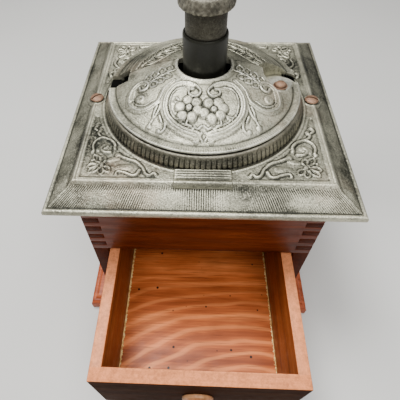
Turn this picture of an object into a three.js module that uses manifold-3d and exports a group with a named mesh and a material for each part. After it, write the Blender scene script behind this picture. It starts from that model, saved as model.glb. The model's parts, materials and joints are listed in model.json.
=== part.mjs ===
// An iron-topped wooden box coffee mill with a swinging hopper lid, a crank and a drawer.
// Millimetres, +Z up, the drawer comes out towards -Y. The origin is the centre of the
// underside of the base board. The drawer stands part way out.
import * as THREE from 'three';
import { mergeVertices } from 'three/addons/utils/BufferGeometryUtils.js';
import Module from 'manifold-3d';

// Driving dimensions
const gap = 0.3; // between pieces that touch
const plateSize = 165; // iron top and base board, across
const boxSize = 139.7; // wooden box, across
const boxWall = 9.5;
const baseThickness = 12;
const boxTop = 131.2;
const fieldTop = 136.8; // flat part of the iron top
const borderDrop = 8; // how far the sloping border falls to the plate's edge
const borderWidth = 15.3;
const plateThickness = 3.2;
const fingers = 28; // finger joints up the height of the box
const railFingers = 14; // of them on the front rail, above the drawer

const ringInner = 52.3; // reeded ring round the hopper mouth
const ringOuter = 59.8;
const ringTop = 145;
const lidRim = 57;
const lidTop = 147.5;
const domeEdge = 53.2;
const domeRise = 15.5;
const domeShell = 2.8;
const postRadius = 12.4;
const postTop = 181;
const lidNotch = 15.3;
const seamY = 4.6; // seam between lid and fixed dome
const pivot = [45.5, 0]; // lid rivet
const earRadius = 9.5;
const padRadius = 11.2;
const swingRecess = 14.8;
const holdY = [0.2, 13.5]; // finger hold, front and rear
const holdX = -45.3;

const screwX = 66.5; // top plate screws
const hopperFlange = 58;
const hopperMouth = 46.5;
const burrBottom = 87;
const burrHeight = 22;
const burrOuter = 27;
const hopperScrewAt = 49.5;
const bridgeScrewX = 27.2;
const upperScrewX = 49; // along the upper bridge's bar
const barTurn = -22; // degrees: the bar misses the lid's rivet boss and the finger slot

const spindleRadius = 5;
const hubRadius = 11;
const eyeRadius = 14.6;
const eyeBottom = 194.6;
const eyeTop = 203;
const crankLength = 120;
const crankTurn = 40; // degrees from +X, as the crank stands
const armRise = 9;
const armThickness = 7;
const knobHeight = 36;

const drawerOut = 79; // how far the drawer stands out
const drawerWidth = 118.4;
const drawerLength = 128;
const drawerTop = 69.9;
const drawerWall = 6.8;
const drawerFrontThickness = 7.7;
const drawerFloorTop = 18.9;
const drawerFloorThickness = 5.4;
const rabbet = 3.6;

// Worked out from them
const plateHalf = plateSize / 2;
const boxHalf = boxSize / 2;
const boxInner = boxHalf - boxWall;
const boxBottom = baseThickness + gap;
const fingerHeight = (boxTop - boxBottom) / fingers;
const railBottom = boxTop - railFingers * fingerHeight;
const plateUnder = boxTop + gap;
const domeRadius = (domeEdge ** 2 + domeRise ** 2) / (2 * domeRise);
const drawerFront = -boxHalf - 0.2 - drawerOut;
const drawerBack = drawerFront + drawerLength;
const screwHeadSlot = 1.1;
const roundSides = 48; // facets round the ring and the dome

const wasm = await Module();
wasm.setup();

// A closed geometry becomes a solid with its faces outward.
function solid(geometry) {
  const bare = geometry.clone();
  bare.deleteAttribute('normal');
  bare.deleteAttribute('uv');
  const merged = mergeVertices(bare, 1e-4);
  const at = merged.attributes.position.array;
  const index = merged.index.array;
  const triangles = [];
  let volume = 0;
  for (let i = 0; i < index.length; i += 3) {
    const [a, b, c] = [index[i], index[i + 1], index[i + 2]];
    if (a === b || b === c || c === a) continue;
    triangles.push(a, b, c);
    const [p, q, r] = [a, b, c].map((k) => new THREE.Vector3().fromArray(at, 3 * k));
    volume += p.dot(q.cross(r));
  }
  if (volume < 0) triangles.reverse();
  return new wasm.Manifold(new wasm.Mesh({
    numProp: 3,
    vertProperties: new Float32Array(at),
    triVerts: new Uint32Array(triangles),
  }));
}

function join(...solids) {
  return solids.reduce((sum, next) => sum.add(next));
}

function cut(body, ...tools) {
  return tools.reduce((left, tool) => left.subtract(tool), body);
}

// A box between two corners.
function block(low, high) {
  const size = high.map((value, i) => value - low[i]);
  const geometry = new THREE.BoxGeometry(...size);
  geometry.translate(...low.map((value, i) => value + size[i] / 2));
  return solid(geometry);
}

// A profile of [radius, height] points turned about the Z axis.
function turned(points, sides = 48, at = [0, 0]) {
  const profile = points.map(([r, z]) => new THREE.Vector2(r, z));
  const geometry = new THREE.LatheGeometry(profile, sides);
  geometry.rotateX(Math.PI / 2);
  geometry.translate(at[0], at[1], 0);
  return solid(geometry);
}

function rod(radius, bottom, top, at = [0, 0], sides = 24) {
  return turned([[0, bottom], [radius, bottom], [radius, top], [0, top]], sides, at);
}

// A profile of [half width, height] points swept round a square.
function square(points) {
  const profile = points.map(([half, z]) => new THREE.Vector2(half * Math.SQRT2, z));
  const geometry = new THREE.LatheGeometry(profile, 4, Math.PI / 4);
  geometry.rotateX(Math.PI / 2);
  return solid(geometry);
}

// A flat outline of [x, y] points raised from bottom to top.
function raised(points, bottom, top) {
  const shape = new THREE.Shape(points.map(([x, y]) => new THREE.Vector2(x, y)));
  const geometry = new THREE.ExtrudeGeometry(shape, { depth: top - bottom, bevelEnabled: false });
  geometry.translate(0, 0, bottom);
  return solid(geometry);
}

// An outline of [x, z] points given a thickness from y = front to y = back.
function upright(points, front, back) {
  const shape = new THREE.Shape(points.map(([x, z]) => new THREE.Vector2(x, z)));
  const geometry = new THREE.ExtrudeGeometry(shape, { depth: back - front, bevelEnabled: false });
  geometry.rotateX(Math.PI / 2);
  geometry.translate(0, back, 0);
  return solid(geometry);
}

const finishes = {
  iron: new THREE.MeshStandardMaterial({ color: 0x5c5f58, roughness: 0.6, metalness: 0.8 }),
  darkIron: new THREE.MeshStandardMaterial({ color: 0x22221f, roughness: 0.45, metalness: 0.8 }),
  rustyIron: new THREE.MeshStandardMaterial({ color: 0x5b4a3c, roughness: 0.8, metalness: 0.5 }),
  steel: new THREE.MeshStandardMaterial({ color: 0x8c8c88, roughness: 0.4, metalness: 0.9 }),
  darkWood: new THREE.MeshStandardMaterial({ color: 0x5a2a14, roughness: 0.45, metalness: 0 }),
  warmWood: new THREE.MeshStandardMaterial({ color: 0x9a5426, roughness: 0.5, metalness: 0 }),
};

const mill = new THREE.Group();

// A solid becomes a named mesh with its own material.
function piece(name, body, finish) {
  const { vertProperties, triVerts } = body.getMesh();
  const geometry = new THREE.BufferGeometry();
  geometry.setAttribute('position', new THREE.BufferAttribute(new Float32Array(vertProperties), 3));
  geometry.setIndex(new THREE.BufferAttribute(new Uint32Array(triVerts), 1));
  geometry.computeVertexNormals();
  const mesh = new THREE.Mesh(geometry, finishes[finish].clone());
  mesh.name = name;
  mill.add(mesh);
}

const cornersAt = (x, y) => [[x, y], [-x, y], [x, -y], [-x, -y]];

// Wooden box. Fingers interlock at the corners: even slots belong to the sides.
const fingerSlots = (first) => {
  const slots = [];
  for (let i = first; i < fingers; i += 2) slots.push(boxTop - (i + 1) * fingerHeight);
  return slots;
};
const baseScrewAt = [boxHalf - boxWall / 2, 52];

function baseBoard() {
  const edge = plateHalf;
  const board = square([
    [0, 0], [edge - 0.6, 0], [edge, 0.6], [edge, 6.5], [edge - 0.6, 8.2], [edge - 2, 9.2],
    [edge - 3.4, 9.4], [edge - 3.6, 10.6], [edge - 4.6, 11.6], [edge - 5.6, baseThickness],
    [0, baseThickness],
  ]);
  const holes = cornersAt(...baseScrewAt).map((at) => turned(
    [[0, -1], [4.6, -1], [4.6, 0.9], [2.4, 3.4], [2.4, 13], [0, 13]], 12, at));
  return cut(board, ...holes);
}

function boxSide(sign) {
  const inner = Math.min(sign * boxInner, sign * boxHalf);
  const outer = Math.max(sign * boxInner, sign * boxHalf);
  const board = block([inner, -boxHalf, boxBottom], [outer, boxHalf, boxTop]);
  const slot = (y0, y1, z) => block([inner - 1, y0, z - gap / 2],
    [outer + 1, y1, z + fingerHeight + gap / 2]);
  const back = fingerSlots(1).map((z) => slot(boxInner - gap, boxHalf + 1, z));
  const front = fingerSlots(1).filter((z) => z > railBottom - 1)
    .map((z) => slot(-boxHalf - 1, -boxInner + gap, z));
  const pilots = [
    rod(2.1, boxTop - 26, boxTop + 1, [sign * screwX, 0], 10),
    rod(2.1, boxBottom - 1, boxBottom + 22, [sign * baseScrewAt[0], baseScrewAt[1]], 10),
    rod(2.1, boxBottom - 1, boxBottom + 22, [sign * baseScrewAt[0], -baseScrewAt[1]], 10),
  ];
  return cut(board, ...back, ...front, ...pilots);
}

function crossBoard(front, back, bottom) {
  const board = block([-boxHalf, front, bottom], [boxHalf, back, boxTop]);
  const slots = [];
  for (const z of fingerSlots(0).filter((low) => low > bottom - fingerHeight)) {
    for (const sign of [-1, 1]) {
      const near = sign * (boxInner - gap);
      const far = sign * (boxHalf + 1);
      slots.push(block([Math.min(near, far), front - 1, z - gap / 2],
        [Math.max(near, far), back + 1, z + fingerHeight + gap / 2]));
    }
  }
  return cut(board, ...slots);
}

// Height of the dome's outer face at a radius from the middle.
const domeAt = (r) => lidTop + Math.sqrt(domeRadius ** 2 - r ** 2) - (domeRadius - domeRise);

// The domed cover as a ring profile from an inner radius out to the rim.
function domeRing(inner, shell, rimBottom) {
  const steps = 5;
  const outer = [];
  const under = [];
  for (let i = 0; i <= steps; i += 1) {
    const r = domeEdge + (inner - domeEdge) * i / steps;
    outer.push([r, domeAt(r)]);
    const rUnder = domeEdge - shell + (inner - domeEdge + shell) * i / steps;
    under.unshift([rUnder, domeAt(rUnder) - shell]);
  }
  return turned([[lidRim, rimBottom], [lidRim, lidTop - 0.5], [lidRim - 0.5, lidTop],
    ...outer, ...under, [domeEdge - shell, rimBottom], [lidRim, rimBottom]], roundSides);
}

// Everything behind the seam, or in front of it.
function behindSeam(offset) {
  return block([-90, seamY + offset, 100], [90, 90, 190]);
}

function topPlate() {
  const under = plateUnder;
  const inner = plateHalf - borderWidth;
  const edgeTop = fieldTop - borderDrop;
  const slab = square([
    [0, under], [boxHalf + 0.6, under], [plateHalf - 1, edgeTop - plateThickness],
    [plateHalf, edgeTop - plateThickness], [plateHalf, edgeTop - 0.4],
    [plateHalf - 0.6, edgeTop + 0.3], [plateHalf - 1.8, edgeTop + 0.4],
    [plateHalf - 2.8, edgeTop + 0.6], [inner + 0.9, fieldTop - 0.4], [inner + 0.5, fieldTop + 0.5],
    [inner - 0.5, fieldTop + 0.6], [inner - 1.1, fieldTop], [0, fieldTop],
  ]);
  const mouth = rod(ringInner, under - 5, fieldTop + 5, [0, 0], roundSides);
  const ring = turned([
    [ringInner, under + 1], [ringOuter, under + 1], [ringOuter, fieldTop + 0.8],
    [ringOuter - 0.6, fieldTop + 3.2], [ringOuter - 1.8, fieldTop + 5.6],
    [ringOuter - 3.4, fieldTop + 7.5], [ringOuter - 4.6, ringTop], [ringInner, ringTop],
    [ringInner, under + 1],
  ], roundSides);
  const boss = rod(8.4, under, ringTop, pivot, 20);
  const rearDome = domeRing(postRadius + 0.5, domeShell, ringTop - 0.4).intersect(behindSeam(0.3));
  const recess = rod(swingRecess, ringTop, lidTop + 20, pivot, 24);
  const recessFloor = rod(swingRecess + 2, ringTop - 2, ringTop, pivot, 24)
    .intersect(rod(ringInner + 1, 100, 190, [0, 0], roundSides));
  const recessWall = cut(rod(swingRecess + 2, ringTop - 2, lidTop + 20, pivot, 24), recess)
    .intersect(turned([[0, 100], [domeEdge, 100],
      ...[domeEdge, 45, 38, 30, 22].map((r) => [r, domeAt(r)]), [0, domeAt(22)]], roundSides))
    .intersect(behindSeam(0.3));
  const pads = [-1, 1].map((sign) => rod(6.2, under + 1, fieldTop + 0.9, [sign * screwX, 0], 16));
  const tab = block([-15, -ringOuter - 9.6, fieldTop - 1], [15, -ringOuter + 1.5, fieldTop + 1.6]);
  const lip = block([-15, -ringOuter - 10.4, fieldTop - 1], [15, -ringOuter - 8, fieldTop + 2.3]);
  const fingerSlot = block([-ringOuter - 1, holdY[0] + 0.4, fieldTop - 3.2],
    [holdX + 0.3, holdY[1], lidTop + 12]);
  const screwHoles = [-1, 1].map((sign) => turned(
    [[0, under - 2], [2.3, under - 2], [2.3, fieldTop - 2], [4.4, fieldTop + 0.4],
      [4.4, fieldTop + 4], [0, fieldTop + 4]], 16, [sign * screwX, 0]));
  const rivetHole = rod(2.1, under - 1, ringTop + 1, pivot, 16);
  const tapped = cornersAt(hopperScrewAt, hopperScrewAt)
    .map((at) => rod(2, under - 1, under + 4, at, 10));
  const whole = join(cut(slab, mouth), ring, boss, rearDome, recessFloor);
  return cut(join(cut(whole, recess), recessWall, ...pads, tab, lip),
    fingerSlot, rivetHole, ...screwHoles, ...tapped);
}

function hopperLid() {
  const front = cut(rod(90, 100, 190, [0, 0], 8), behindSeam(-0.3));
  const rimLow = ringTop + gap;
  const steps = 6;
  const cap = [[0, rimLow], [lidRim, rimLow], [lidRim, lidTop - 0.5], [lidRim - 0.5, lidTop]];
  const hollow = [[0, rimLow - 5], [domeEdge - domeShell, rimLow - 5]];
  for (let i = 0; i <= steps; i += 1) {
    const r = domeEdge * (1 - i / steps);
    cap.push([r, domeAt(r)]);
    const rIn = (domeEdge - domeShell) * (1 - i / steps);
    hollow.push([rIn, domeAt(rIn) - domeShell]);
  }
  const ear = rod(earRadius, rimLow, lidTop, pivot, 24);
  const shell = join(turned(cap, roundSides).intersect(front), ear);
  const pad = rod(padRadius, lidTop, lidTop + 20, pivot, 24);
  const padWall = rod(padRadius + 2.2, rimLow - 6, lidTop + 20, pivot, 24);
  const cavity = cut(turned(hollow, roundSides), padWall);
  const notch = rod(lidNotch, rimLow - 1, lidTop + 25, [0, 0], 32);
  const rivetHole = rod(2.1, rimLow - 1, lidTop + 1, pivot, 16);
  // the left end stops short, which leaves the finger hold open
  const hold = block([-70, holdY[0], rimLow - 1], [holdX, 20, lidTop + 20]);
  return cut(shell, cavity, pad, notch, rivetHole, hold);
}

function hopper() {
  const top = boxTop;
  const seat = burrBottom - gap;
  const bowl = turned([
    [hopperFlange, top], [hopperFlange, top - 3.4], [50.5, top - 3.4], [30.6, burrBottom + burrHeight],
    [30.6, seat - 2.6], [23.5, seat - 2.6], [23.5, seat], [burrOuter + gap, seat],
    [burrOuter + gap, burrBottom + burrHeight + 1], [hopperMouth, top - 5], [hopperMouth, top],
    [hopperFlange, top],
  ], 40);
  const ears = join(
    ...cornersAt(hopperScrewAt, hopperScrewAt).map((at) => rod(6.6, top - 3.4, top, at, 12)),
    ...[45, 135, 225, 315].map((turn) => block([50, -6.6, top - 3.4],
      [hopperScrewAt * Math.SQRT2, 6.6, top]).rotate([0, 0, turn])),
  );
  const inside = rod(52, top - 60, top + 1, [0, 0], 40);
  const earHoles = cornersAt(hopperScrewAt, hopperScrewAt)
    .map((at) => rod(2, top - 6, top + 1, at, 10));
  const barHoles = [-1, 1].map((sign) => rod(1.7, top - 6, top + 1, [sign * upperScrewX, 0], 10)
    .rotate([0, 0, barTurn]));
  const legHoles = [-1, 1]
    .map((sign) => rod(1.7, seat - 4, seat - 0.2, [sign * bridgeScrewX, 0], 10));
  return cut(join(bowl, cut(ears, inside)), ...earHoles, ...barHoles, ...legHoles);
}

// Grinding ring: coarse breaker ribs at its mouth, a plain cone below.
function outerBurr() {
  const low = burrBottom;
  const high = low + burrHeight;
  const ring = turned([
    [burrOuter, low], [burrOuter, high], [23.5, high], [20.8, low + 11], [20.8, low],
    [burrOuter, low],
  ], 36);
  const ribs = [];
  const count = 9;
  for (let i = 0; i < count; i += 1) {
    const rib = upright([[25, low + 1], [25, high - 1], [22, high - 1], [16.4, low + 14],
      [19.6, low + 1]], -0.9, 0.9);
    ribs.push(rib.rotate([0, 0, 360 * i / count]));
  }
  return join(ring, ...ribs);
}

function innerBurr() {
  const low = burrBottom + 1;
  const cone = turned([[spindleRadius + gap, low], [16.6, low], [16.6, low + 2], [8, low + 17],
    [spindleRadius + gap, low + 18], [spindleRadius + gap, low]], 28);
  const count = 7;
  const bore = rod(spindleRadius + gap, low - 1, low + 30, [0, 0], 24);
  const blades = [];
  for (let i = 0; i < count; i += 1) {
    const blade = upright([[5, low + 0.5], [18, low + 0.5], [17.6, low + 2], [11, low + 15],
      [5, low + 17]], -0.8, 0.8);
    blades.push(blade.rotate([0, 0, 360 * i / count]));
  }
  const pinHole = upright([[-25, low + 5], [25, low + 5], [25, low + 8], [-25, low + 8]], -1.5, 1.5);
  return cut(join(cone, ...blades), bore, pinHole).rotate([0, 0, crankTurn]);
}

function upperBridge() {
  const low = boxTop + gap;
  const bar = block([-51.4, -6, low], [51.4, 6, low + 5])
    .intersect(rod(51.4, low - 1, low + 9, [0, 0], 40));
  const post = turned([[0, low], [postRadius, low], [postRadius, postTop - 0.6],
    [postRadius - 0.4, postTop], [0, postTop]], 32);
  const bore = rod(spindleRadius + 0.25, low - 1, postTop + 1, [0, 0], 32);
  const socket = rod(hubRadius + 0.35, postTop - 5, postTop + 1, [0, 0], 32);
  const holes = [-1, 1].map((sign) => rod(1.7, low - 1, low + 6, [sign * upperScrewX, 0], 10));
  return cut(join(bar, post), bore, socket, ...holes).rotate([0, 0, barTurn]);
}

function upperBridgeScrew(at) {
  const low = boxTop + gap + 5 + gap;
  return turned([[0, low - 9], [1.4, low - 9], [1.4, low], [2.4, low], [2.2, low + 1.2],
    [0, low + 1.4]], 16, at).rotate([0, 0, barTurn]);
}

const bridgeTop = burrBottom - 5.5; // lower bridge bar
const bridgeLow = bridgeTop - 4;
function lowerBridge() {
  const legTop = burrBottom - gap - 2.6 - gap;
  const bar = block([-32, -7, bridgeLow], [32, 7, bridgeTop]);
  const legs = join(block([-32, -7, bridgeLow], [-24, 7, legTop]),
    block([24, -7, bridgeLow], [32, 7, legTop]));
  const threaded = rod(3.3, bridgeLow - 1, bridgeTop + 1, [0, 0], 32);
  const holes = [-1, 1].map(
    (sign) => rod(1.7, bridgeLow - 1, legTop + 1, [sign * bridgeScrewX, 0], 10));
  return cut(join(bar, legs), threaded, ...holes);
}

// A slotted screw, head up: the slot is a cut across the head.
function ovalScrew(at, seat, headRadius, shank, length, turn) {
  const body = turned([[0, seat - length], [shank * 0.6, seat - length + 2], [shank, seat - length + 5],
    [shank, seat], [headRadius * 0.9, seat], [headRadius, seat + 0.5], [headRadius * 0.8, seat + 1.4],
    [headRadius * 0.4, seat + 1.9], [0, seat + 2]], 16, at);
  const slot = block([-9, -screwHeadSlot / 2, seat + 0.9], [9, screwHeadSlot / 2, seat + 4])
    .rotate([0, 0, turn]).translate([at[0], at[1], 0]);
  return cut(body, slot);
}

// A slotted screw driven upwards: its head is below.
function screwUp(at, headBottom, headHeight, headRadius, shank, top) {
  const body = turned([[0, headBottom], [headRadius, headBottom], [headRadius, headBottom + headHeight],
    [shank, headBottom + headHeight], [shank, top - 1], [0, top]], 12, at);
  const slot = block([at[0] - 9, at[1] - 0.5, headBottom - 1],
    [at[0] + 9, at[1] + 0.5, headBottom + 0.8]);
  return cut(body, slot);
}

function woodScrewUp(at) {
  const low = 0.5;
  const body = turned([[0, low], [4.1, low], [2, low + 2.4], [2, 28], [0, 33]], 12, at);
  const slot = block([at[0] - 9, at[1] - 0.5, low - 1], [at[0] + 9, at[1] + 0.5, low + 0.8]);
  return cut(body, slot);
}

function lidRivet() {
  const under = lidTop + gap;
  return turned([[0, plateUnder + 0.5], [1.8, plateUnder + 0.5], [1.8, under], [4.2, under],
    [4, under + 1], [2.8, under + 2], [1.2, under + 2.5], [0, under + 2.6]], 24, pivot);
}

// Running gear
const stepTop = burrBottom - 2.4; // thrust disc below the spindle
const stepLow = stepTop - 1.7;
function spindle() {
  const low = stepTop + gap;
  const shaft = turned([[0, low], [spindleRadius - 1, low], [spindleRadius, low + 1],
    [spindleRadius, 190], [0, 190]], 32);
  const flats = block([-3.7, -3.7, 189], [3.7, 3.7, eyeTop + 0.4]);
  const thread = rod(3.4, eyeTop - 2, eyeTop + 10, [0, 0], 24);
  const pinHole = upright([[-9, burrBottom + 6], [9, burrBottom + 6], [9, burrBottom + 9],
    [-9, burrBottom + 9]], -1.5, 1.5);
  return cut(join(shaft, flats, thread), pinHole).rotate([0, 0, crankTurn]);
}

function burrPin() {
  const z = burrBottom + 7.5;
  const geometry = new THREE.CylinderGeometry(1.15, 1.15, 22, 16);
  geometry.rotateZ(Math.PI / 2);
  geometry.translate(0, 0, z);
  return solid(geometry).rotate([0, 0, crankTurn]);
}

// The crank: a hub that sits in the post, an eye above it and a rising arm.
function crankArm() {
  const hub = turned([[0, postTop - 2.6], [hubRadius - 0.3, postTop - 2.6], [hubRadius, postTop - 2.2],
    [hubRadius, eyeBottom + 0.4], [eyeRadius - 0.8, eyeBottom], [eyeRadius, eyeBottom + 1],
    [eyeRadius, eyeTop - 1.2], [eyeRadius - 1.2, eyeTop], [0, eyeTop]], 32);
  const low = eyeBottom + 1;
  const steps = 8;
  const under = [];
  const over = [];
  for (let i = 0; i <= steps; i += 1) {
    const s = i / steps;
    const z = low + armRise * (3 * s ** 2 - 2 * s ** 3);
    under.push([(crankLength + 10) * s, z]);
    over.unshift([(crankLength + 10) * s, z + armThickness - 1.5 * s]);
  }
  const side = upright([...under, ...over], -12, 12);
  const plan = [];
  for (let i = 0; i <= 8; i += 1) {
    const turn = -Math.PI / 2 + Math.PI * i / 8;
    plan.push([crankLength + 8 * Math.cos(turn), 8 * Math.sin(turn)]);
  }
  const outline = raised([[0, 7.5], [0, -7.5], [14, -7.5], [28, -5.6], [crankLength - 16, -4.6],
    [crankLength - 7, -6], ...plan, [crankLength - 7, 6], [crankLength - 16, 4.6], [28, 5.6],
    [14, 7.5]], 180, 230);
  const bore = rod(spindleRadius + gap, postTop - 4, 190.4, [0, 0], 32);
  const flats = block([-4, -4, 190], [4, 4, eyeTop + 1]);
  const pinHole = rod(3.2, 180, 230, [crankLength, 0], 24);
  return cut(join(hub, side.intersect(outline)), bore, flats, pinHole)
    .rotate([0, 0, crankTurn]);
}

function crankWasher() {
  const low = eyeTop + 0.7;
  return turned([[3.9, low], [7.6, low], [7.6, low + 1.4], [3.9, low + 1.4], [3.9, low]], 32);
}

function crankNut() {
  const low = eyeTop + 2.4;
  const hex = turned([[0, low], [6.6, low], [6.6, low + 4.4], [5.4, low + 5.4], [0, low + 5.4]], 6);
  return cut(hex, rod(3.7, low - 1, low + 9, [0, 0], 24));
}

const crankAngle = THREE.MathUtils.degToRad(crankTurn);
const armEndTop = eyeBottom + 1 + armRise + armThickness - 1.5;
const crankEnd = [crankLength * Math.cos(crankAngle), crankLength * Math.sin(crankAngle)];
function handlePin() {
  const low = armEndTop - armThickness + 0.6;
  const top = armEndTop + knobHeight + 1;
  return turned([[0, low - 1], [5, low - 1], [5, low], [2.85, low], [2.85, top], [5, top],
    [4.6, top + 1.2], [2, top + 2], [0, top + 2]], 24, crankEnd);
}

function crankKnob() {
  const low = armEndTop + 0.5;
  const body = turned([[0, low], [7.5, low], [8, low + 1.5], [7.6, low + 6], [8.6, low + 11],
    [11.6, low + 17], [14.4, low + 23], [15, low + 27], [14, low + 31.5], [11, low + 34.6],
    [7, low + knobHeight], [0, low + knobHeight]], 24, crankEnd);
  return cut(body, rod(3.15, low - 1, low + knobHeight + 1, crankEnd, 24));
}

function thrustDisc() {
  return rod(4.4, stepLow, stepTop, [0, 0], 24);
}

function adjustingScrew() {
  const top = stepLow - gap;
  const body = turned([[0, drawerTop + 2], [2.6, drawerTop + 2], [3, drawerTop + 2.5], [3, top - 0.6],
    [2.4, top], [0, top]], 32);
  return cut(body, block([-5, -0.5, drawerTop], [5, 0.5, drawerTop + 3.2]));
}

function lockNut() {
  const top = bridgeLow - gap;
  return cut(turned([[0, top - 2.8], [6.4, top - 2.8], [6.4, top], [0, top]], 6),
    rod(3.35, top - 4, top + 1, [0, 0], 24));
}

// Drawer
const drawerHalf = drawerWidth / 2;
const drawerLow = boxBottom;
const frontInner = drawerFront + drawerFrontThickness;
const knobZ = (drawerLow + drawerTop) / 2;
function drawerFrontBoard() {
  const board = block([-drawerHalf, drawerFront, drawerLow], [drawerHalf, frontInner, drawerTop]);
  const steps = [-1, 1].map((sign) => block(
    [sign * (drawerHalf - drawerWall) - (sign > 0 ? gap : 20), frontInner - rabbet, 0],
    [sign * (drawerHalf - drawerWall) + (sign > 0 ? 20 : gap), frontInner + 1, 100]));
  const screwHole = solid(new THREE.CylinderGeometry(2, 2, 20, 16)
    .translate(0, drawerFront + drawerFrontThickness / 2, knobZ));
  return cut(board, ...steps, screwHole);
}

function drawerSide(sign) {
  const near = sign * (drawerHalf - drawerWall);
  const far = sign * drawerHalf;
  return block([Math.min(near, far), frontInner - rabbet + gap, drawerLow],
    [Math.max(near, far), drawerBack, drawerTop]);
}

const drawerInner = drawerHalf - drawerWall - gap;
function drawerBackBoard() {
  return block([-drawerInner, drawerBack - 6.6, drawerFloorTop + gap],
    [drawerInner, drawerBack - 0.4, drawerTop - 3]);
}

function drawerFloor() {
  return block([-drawerInner, frontInner + gap, drawerFloorTop - drawerFloorThickness],
    [drawerInner, drawerBack - 0.4, drawerFloorTop]);
}

const frontways = (body) => body.rotate([90, 0, 0]).translate([0, drawerFront, knobZ]);
function drawerKnob() {
  const low = gap;
  const body = turned([[0, low], [9, low], [9, low + 1.6], [6, low + 3.2], [4.7, low + 5.2], [6.4, low + 7.6],
    [8.8, low + 10.2], [9.1, low + 12], [8.5, low + 14.2], [6.6, low + 15.8], [3.4, low + 16.8],
    [0, low + 17]], 20);
  return frontways(cut(body, rod(1.9, low - 1, low + 12, [0, 0], 16)));
}

function drawerKnobScrew() {
  const seat = -drawerFrontThickness - gap;
  const body = turned([[0, seat - 1.6], [3, seat - 1.2], [3.6, seat], [1.6, seat], [1.6, 9],
    [0, 11.5]], 20);
  return frontways(cut(body, block([-5, -0.4, seat - 3], [5, 0.4, seat - 0.9])));
}

// Screws of one kind, named by their corner or side.
const cornerNames = ['right_rear', 'left_rear', 'right_front', 'left_front'];
function cornerScrews(name, x, y, make) {
  cornersAt(x, y).forEach((at, i) => {
    piece(`${name}_${cornerNames[i]}`, make(at), 'steel');
  });
}

function sideScrews(name, x, make, finish) {
  for (const sign of [-1, 1]) {
    piece(`${name}_${sign < 0 ? 'left' : 'right'}`, make([sign * x, 0]), finish);
  }
}

piece('base_board', baseBoard(), 'darkWood');
piece('box_left_side', boxSide(-1), 'darkWood');
piece('box_right_side', boxSide(1), 'darkWood');
piece('box_back', crossBoard(boxInner, boxHalf, boxBottom), 'darkWood');
piece('box_front_rail', crossBoard(-boxHalf, -boxInner, railBottom), 'darkWood');
cornerScrews('base_screw', ...baseScrewAt, woodScrewUp);

piece('top_plate', topPlate(), 'iron');
sideScrews('plate_screw', screwX, (at) => ovalScrew(at, fieldTop + 0.9, 4.1, 1.75, 30, 40), 'rustyIron');
piece('lid_rivet', lidRivet(), 'iron');
piece('hopper_lid', hopperLid(), 'iron');

piece('hopper', hopper(), 'darkIron');
cornerScrews('hopper_screw', hopperScrewAt, hopperScrewAt,
  (at) => screwUp(at, boxTop - 3.4 - gap - 2, 2, 3.2, 1.7, plateUnder + 3.6));
piece('upper_bridge', upperBridge(), 'darkIron');
sideScrews('upper_bridge_screw', upperScrewX, upperBridgeScrew, 'steel');
piece('lower_bridge', lowerBridge(), 'darkIron');
sideScrews('lower_bridge_screw', bridgeScrewX,
  (at) => screwUp(at, bridgeLow - gap - 2, 2, 3, 1.4, burrBottom - gap - 0.5), 'steel');
piece('outer_burr', outerBurr(), 'darkIron');
piece('lock_nut', lockNut(), 'steel');

piece('thrust_disc', thrustDisc(), 'steel');
piece('adjusting_screw', adjustingScrew(), 'steel');
piece('spindle', spindle(), 'steel');
piece('inner_burr', innerBurr(), 'darkIron');
piece('burr_pin', burrPin(), 'steel');
piece('crank_arm', crankArm(), 'rustyIron');
piece('crank_washer', crankWasher(), 'steel');
piece('crank_nut', crankNut(), 'steel');
piece('handle_pin', handlePin(), 'steel');
piece('crank_knob', crankKnob(), 'darkWood');

piece('drawer_front', drawerFrontBoard(), 'warmWood');
piece('drawer_left_side', drawerSide(-1), 'warmWood');
piece('drawer_right_side', drawerSide(1), 'warmWood');
piece('drawer_back', drawerBackBoard(), 'warmWood');
piece('drawer_floor', drawerFloor(), 'warmWood');
piece('drawer_knob', drawerKnob(), 'warmWood');
piece('drawer_knob_screw', drawerKnobScrew(), 'steel');

export default mill;
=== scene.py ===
import bpy, math, json
import numpy as np
from mathutils import Vector, Matrix


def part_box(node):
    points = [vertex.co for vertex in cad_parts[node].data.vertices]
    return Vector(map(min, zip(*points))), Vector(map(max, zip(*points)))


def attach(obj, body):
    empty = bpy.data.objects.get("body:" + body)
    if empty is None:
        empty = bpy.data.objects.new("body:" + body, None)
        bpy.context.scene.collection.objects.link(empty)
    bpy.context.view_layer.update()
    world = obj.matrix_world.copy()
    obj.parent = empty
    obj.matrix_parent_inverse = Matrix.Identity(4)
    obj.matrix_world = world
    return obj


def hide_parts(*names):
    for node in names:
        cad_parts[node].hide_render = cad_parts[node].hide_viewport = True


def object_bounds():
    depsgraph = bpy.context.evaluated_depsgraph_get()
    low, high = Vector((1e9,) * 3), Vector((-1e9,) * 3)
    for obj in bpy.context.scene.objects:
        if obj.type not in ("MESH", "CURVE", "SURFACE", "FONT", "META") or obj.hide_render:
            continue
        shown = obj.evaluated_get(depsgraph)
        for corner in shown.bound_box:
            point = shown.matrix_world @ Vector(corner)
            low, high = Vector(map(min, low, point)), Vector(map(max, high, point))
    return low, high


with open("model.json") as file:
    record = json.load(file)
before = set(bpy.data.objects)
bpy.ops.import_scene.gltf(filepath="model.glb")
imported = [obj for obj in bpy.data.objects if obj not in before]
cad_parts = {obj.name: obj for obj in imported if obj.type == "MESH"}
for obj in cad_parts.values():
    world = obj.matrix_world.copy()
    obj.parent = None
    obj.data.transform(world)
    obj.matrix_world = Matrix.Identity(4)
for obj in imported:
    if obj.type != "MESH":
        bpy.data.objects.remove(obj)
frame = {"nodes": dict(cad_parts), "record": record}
cadBox = [list(map(float, corner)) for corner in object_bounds()]
mm = 0.001


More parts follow.
